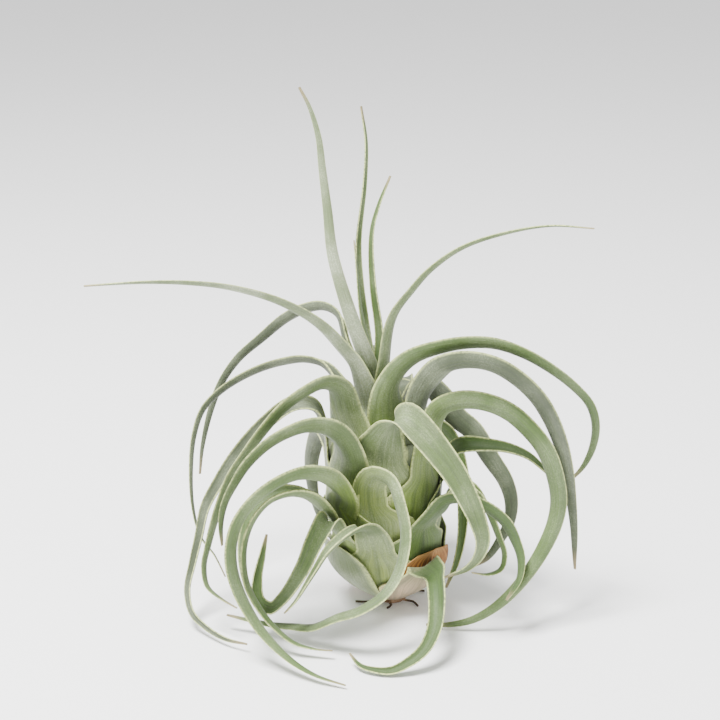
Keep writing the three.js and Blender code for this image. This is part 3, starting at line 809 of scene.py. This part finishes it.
@dataclass
class LeafSheet:
    """Builds one leaf as a thin sheet, in millimetres, and dresses it."""

    leaf: Leaf
    rank: int
    bulb: Bulb
    thickness: float = 0.7
    half_span: float = math.pi / 4
    neck_half_span: float = 1.15
    row_height: float = 11.25
    bare_row_height: float = 3.75
    least_row_height: float = 1.0
    lead_rows: int = 3
    shoulder_height: float = 14.0
    shoulder_widening: float = 1.5
    bare_point: float = 0.8
    bare_roundness: float = 4.0
    tip_half_width: float = 0.6
    channel_half_angle: float = 1.15
    least_channel_radius: float = 2.2
    midrib_drop: float = 0.25
    channel_blend: float = 34.0
    roll_blend: float = 64.0
    samples: int = 240
    sheath_row: float = 2.5
    blade_row: float = 2.6
    columns: int = 14
    sharp_angle: float = math.radians(50)
    fray_start: float = 0.4
    fray_depth: float = 4.0
    fray_spacing: float = 9.0

    def _top(self) -> float:
        """The height at which this leaf's sheath ends."""
        return self.bulb.top(self.rank) if self.leaf.top is None else self.leaf.top

    def _heights(self, spacing: float) -> list[float]:
        """The heights of the sheath's sections.

        Args:
            spacing: the step between the heights.

        Returns:
            The heights, from the insertion to the top.
        """
        insertion = self.bulb.insertion(self.rank)
        top = self._top()
        heights = [insertion]
        height = math.ceil((insertion + self.least_row_height) / spacing) * spacing
        while height < top - self.least_row_height:
            heights.append(height)
            height += spacing
        return [*heights, top]

    def _outward(self) -> Vector:
        """The level direction in which the sheath stands from the axis."""
        angle = math.radians(self.leaf.azimuth)
        return Vector((math.cos(angle), math.sin(angle), 0.0))

    def _sheath_half_width(self, height: float, radius: float) -> float:
        """Half the sheath's width round the bulb.

        Args:
            height: the height to read it at.
            radius: the sheath's distance from the axis there.

        Returns:
            The half width, in millimetres.
        """
        insertion = self.bulb.insertion(self.rank)
        top = self._top()
        full = radius * self.half_span
        if self.leaf.route:
            shoulder = self.leaf.shoulder or self.shoulder_widening * self.leaf.width
            end = min(shoulder, radius * self.neck_half_span)
            return mix(full, end, ease(height, top - self.shoulder_height, top))
        risen = (height - insertion) / (top - insertion)
        return mix(full, self.bare_point, 1.0 - math.sqrt(1.0 - risen ** self.bare_roundness))

    def _sheath_section(self, height: float) -> Section:
        """One level section of the sheath.

        Args:
            height: the section's height.

        Returns:
            The section.
        """
        outward = self._outward()
        radius = self.bulb.radius(self.rank, height)
        centre = self.bulb.axis(height) + outward * radius
        side = Vector((outward.y, -outward.x, 0.0))
        half_width = self._sheath_half_width(height, radius)
        along = height - self.bulb.insertion(self.rank)
        return Section(centre, -outward, side, half_width, radius, along)

    def _blade_sections(self, last: Section) -> list[Section]:
        """The sections of the blade.

        Args:
            last: the sheath's highest section.

        Returns:
            The sections, from just above the sheath to the tip.
        """
        spacing = self.row_height if self.leaf.top is None else self.bare_row_height
        heights = self._heights(spacing)[-self.lead_rows:]
        lead = [self._sheath_section(height).centre for height in heights]
        midrib = Midrib([*lead, *(Vector(point) for point in self.leaf.route)])
        start = (len(lead) - 1) / (len(lead) + len(self.leaf.route) - 1)
        hollow = last.hollow.copy()
        places = []
        length = 0.0
        for step in range(self.samples + 1):
            share = mix(start, 1.0, step / self.samples)
            centre = midrib.at(share)
            direction = midrib.direction(share)
            hollow = (hollow - direction * hollow.dot(direction)).normalized()
            if places:
                length += (centre - places[-1][0]).length
            places.append((centre, direction, hollow, length))
        count = math.ceil(length / self.blade_row)
        sections = []
        number = 0
        for row in range(1, count + 1):
            due = length * row / count
            while number < self.samples and places[number][3] < due:
                number += 1
            sections.append(self._blade_section(last, places[number], length))
        return sections

    def _blade_section(self, last: Section, place: tuple, length: float) -> Section:
        """The section of the blade at one place of its midrib.

        Args:
            last: the sheath's highest section.
            place: the midrib's point, direction, hollow side and length so far.
            length: the midrib's whole length.

        Returns:
            The section.
        """
        centre, direction, hollow, gone = place
        share = gone / length
        taper = self.leaf.width * (1.0 - share ** self.leaf.taper) + self.tip_half_width
        settled = ease(gone, 0.0, self.channel_blend)
        half_width = mix(last.half_width, taper, settled)
        channel = max(half_width / self.channel_half_angle, self.least_channel_radius)
        radius = mix(last.radius, channel, settled)
        rolled = math.radians(self.leaf.roll) * ease(gone, 0.0, self.roll_blend)
        angle = rolled + self.leaf.twist * share
        turned = hollow * math.cos(angle) + direction.cross(hollow) * math.sin(angle)
        middle = centre - turned * (self.midrib_drop * half_width * settled)
        return Section(middle, turned, direction.cross(turned), half_width, radius, last.along + gone)

    def _fray(self, section: Section, across: float, share: float) -> float:
        """How far a dry sheath's torn top stands below its full height.

        Args:
            section: the cross-section that is torn.
            across: the place on its arc, from -1 to 1.
            share: the place along the sheath, from 0 at the stem to 1 at the top.

        Returns:
            The drop, in millimetres.
        """
        if self.leaf.finish is not Finish.DRY:
            return 0.0
        width = across * section.half_width / self.fray_spacing
        tear = 0.5 + 0.5 * noise.noise(Vector((width, self.rank, 0.0)))
        return self.fray_depth * tear * ease(share, self.fray_start, 1.0)

    def sections(self) -> list[Section]:
        """Lines up the leaf's sections.

        Returns:
            The sections, from the insertion to the tip.
        """
        spacing = self.row_height / round(self.row_height / self.sheath_row)
        sheath = [self._sheath_section(height) for height in self._heights(spacing)]
        blade = self._blade_sections(sheath[-1]) if self.leaf.route else []
        return [*sheath, *blade]

    def build(self) -> bpy.types.Object:
        """Builds the leaf.

        Returns:
            The leaf's object, with its place in its mesh.
        """
        sections = self.sections()
        rows = len(sections) - 1
        bm = bmesh.new()
        bmesh.ops.create_grid(bm, x_segments=self.columns, y_segments=rows, size=1.0)
        layers = {name: bm.verts.layers.float.new(name) for name in ("across", "along", "share")}
        for vert in bm.verts:
            across = vert.co.x
            row = round((vert.co.y + 1.0) / 2.0 * rows)
            section = sections[row]
            vert[layers["across"]] = across
            vert[layers["along"]] = section.along * MM
            vert[layers["share"]] = section.along / sections[-1].along
            vert.co = section.point(across) * MM
            vert.co.z -= self._fray(section, across, vert[layers["share"]]) * MM
        bmesh.ops.recalc_face_normals(bm, faces=bm.faces)
        bmesh.ops.solidify(bm, geom=list(bm.faces), thickness=self.thickness * MM)
        bmesh.ops.recalc_face_normals(bm, faces=bm.faces)
        mesh = bpy.data.meshes.new(self.leaf.name + "_skin")
        bm.to_mesh(mesh)
        bm.free()
        mesh.shade_smooth()
        mesh.set_sharp_from_angle(angle=self.sharp_angle)
        piece = bpy.data.objects.new(self.leaf.name + "_skin", mesh)
        bpy.context.scene.collection.objects.link(piece)
        return piece

    def dress(self, piece: bpy.types.Object) -> None:
        """Gives the leaf its material and stands it for its solid.

        Args:
            piece: the leaf's object.
        """
        finish = self.leaf.finish
        name = self.leaf.name + "_finish"
        if finish is Finish.DRY:
            material = dry_material(name, DryFinish())
        else:
            tint = random.Random(self.leaf.name).random()
            kind = LEAF_FINISHES[finish]
            base = self.leaf.base or kind.base_tint
            material = leaf_material(name, kind, base, self.leaf.base_reach, tint)
        piece.data.materials.append(material)
        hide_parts(self.leaf.name)
        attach(piece, "root")


@dataclass
class Plant:
    """The whole plant: its leaves from the innermost outwards, on their stem."""

    bulb: Bulb = field(default_factory=Bulb)
    stem_node: str = "stem_and_roots"

    def build_leaves(self) -> None:
        """Builds and dresses every leaf."""
        for rank, leaf in enumerate(LEAVES):
            sheet = LeafSheet(leaf, rank, self.bulb)
            piece = sheet.build()
            sheet.dress(piece)
            LOG.info("leaf %s: %d faces", piece.name, len(piece.data.polygons))

    def dress_stem(self) -> None:
        """Gives the stem and its roots their bark."""
        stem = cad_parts[self.stem_node]
        stem.data.materials.clear()
        stem.data.materials.append(wood_material("stem_bark", WoodFinish()))
        LOG.info("stem %s: bark", self.stem_node)


@dataclass
class Studio:
    """A pale floor, soft light and a camera at the picture's angle."""

    target: tuple[float, float, float] = (-0.020, 0.0, 0.157)
    distance: float = 1.0
    elevation: float = math.radians(18)
    lens: float = 83.35
    floor_half_size: float = 20.0
    floor_grey: float = 0.93
    floor_roughness: float = 0.9
    sky_grey: float = 1.0
    sky_strength: float = 1.2
    key_place: tuple[float, float, float] = (-0.5, -0.5, 1.7)
    key_size: float = 0.6
    key_power: float = 120.0

    def camera(self) -> None:
        """Places the camera."""
        data = bpy.data.cameras.new("camera")
        data.lens = self.lens
        camera = bpy.data.objects.new("camera", data)
        back = Vector((0.0, -math.cos(self.elevation), math.sin(self.elevation)))
        camera.location = Vector(self.target) + back * self.distance
        camera.rotation_euler = (math.pi / 2 - self.elevation, 0.0, 0.0)
        bpy.context.scene.collection.objects.link(camera)
        bpy.context.scene.camera = camera

    def floor(self) -> None:
        """Lays the floor."""
        bm = bmesh.new()
        bmesh.ops.create_grid(bm, x_segments=1, y_segments=1, size=self.floor_half_size)
        mesh = bpy.data.meshes.new("floor")
        bm.to_mesh(mesh)
        bm.free()
        shader = Shader("floor_finish")
        grey = (self.floor_grey, self.floor_grey, self.floor_grey)
        mesh.materials.append(shader.finish(grey, self.floor_roughness))
        floor = bpy.data.objects.new("floor", mesh)
        bpy.context.scene.collection.objects.link(floor)

    def light(self) -> None:
        """Lights the plant softly from above and all round."""
        world = bpy.data.worlds.new("sky")
        bpy.context.scene.world = world
        world.use_nodes = True
        background = world.node_tree.nodes["Background"]
        background.inputs["Color"].default_value = (self.sky_grey, self.sky_grey, self.sky_grey, 1.0)
        background.inputs["Strength"].default_value = self.sky_strength
        data = bpy.data.lights.new("key", "AREA")
        data.size = self.key_size
        data.energy = self.key_power
        key = bpy.data.objects.new("key", data)
        key.location = self.key_place
        direction = Vector(self.target) - key.location
        key.rotation_euler = direction.to_track_quat("-Z", "Y").to_euler()
        bpy.context.scene.collection.objects.link(key)


def main() -> None:
    """Builds the plant and its studio."""
    logging.basicConfig(level=logging.INFO)
    studio = Studio()
    studio.camera()
    studio.floor()
    studio.light()
    plant = Plant()
    plant.build_leaves()
    plant.dress_stem()


if __name__ == "__main__":
    main()
